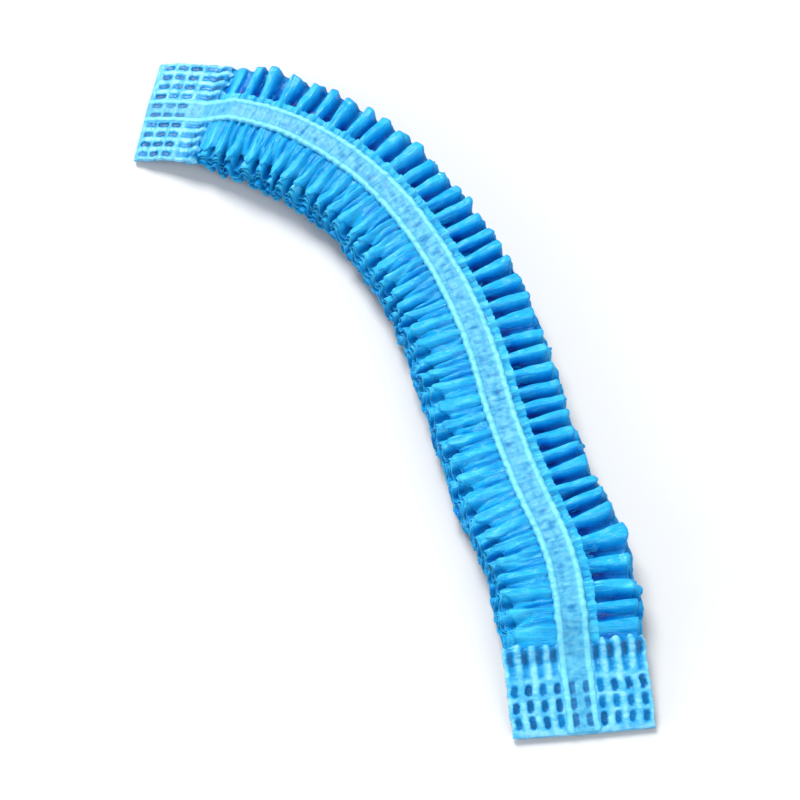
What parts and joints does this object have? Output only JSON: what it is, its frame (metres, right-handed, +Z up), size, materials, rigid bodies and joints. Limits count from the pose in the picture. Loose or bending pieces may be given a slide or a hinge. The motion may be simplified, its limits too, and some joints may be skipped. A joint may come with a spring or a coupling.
{
  "type": "folded disposable shower cap",
  "caption": "Disposable shower cap of thin film, folded into a narrow strip, gathered into cross pleats by elastic bands and welded at its ends.",
  "frame": {"origin": "on the surface that the cap lies on, under the middle of its bounding box", "axes": "+Z up from the surface, +Y across the longest reach of the folded strip towards its first end, +X towards the last end's side"},
  "size_m": [0.115, 0.1708, 0.012],
  "materials": {
    "film": "thin translucent blue plastic film with a soft sheen, finely gathered",
    "elastic": "pale blue elastic ribbon under the film, matt, with a raised welt along each side and a weld spot in each pleat",
    "weld": "many layers of film pressed and welded together, glossy, with rows of small pits"
  },
  "bodies": {
    "root": {"pleated_film": "film", "upper_elastic_band": "elastic", "lower_elastic_band": "elastic", "first_welded_end": "weld", "last_welded_end": "weld"}
  },
  "joints": []
}
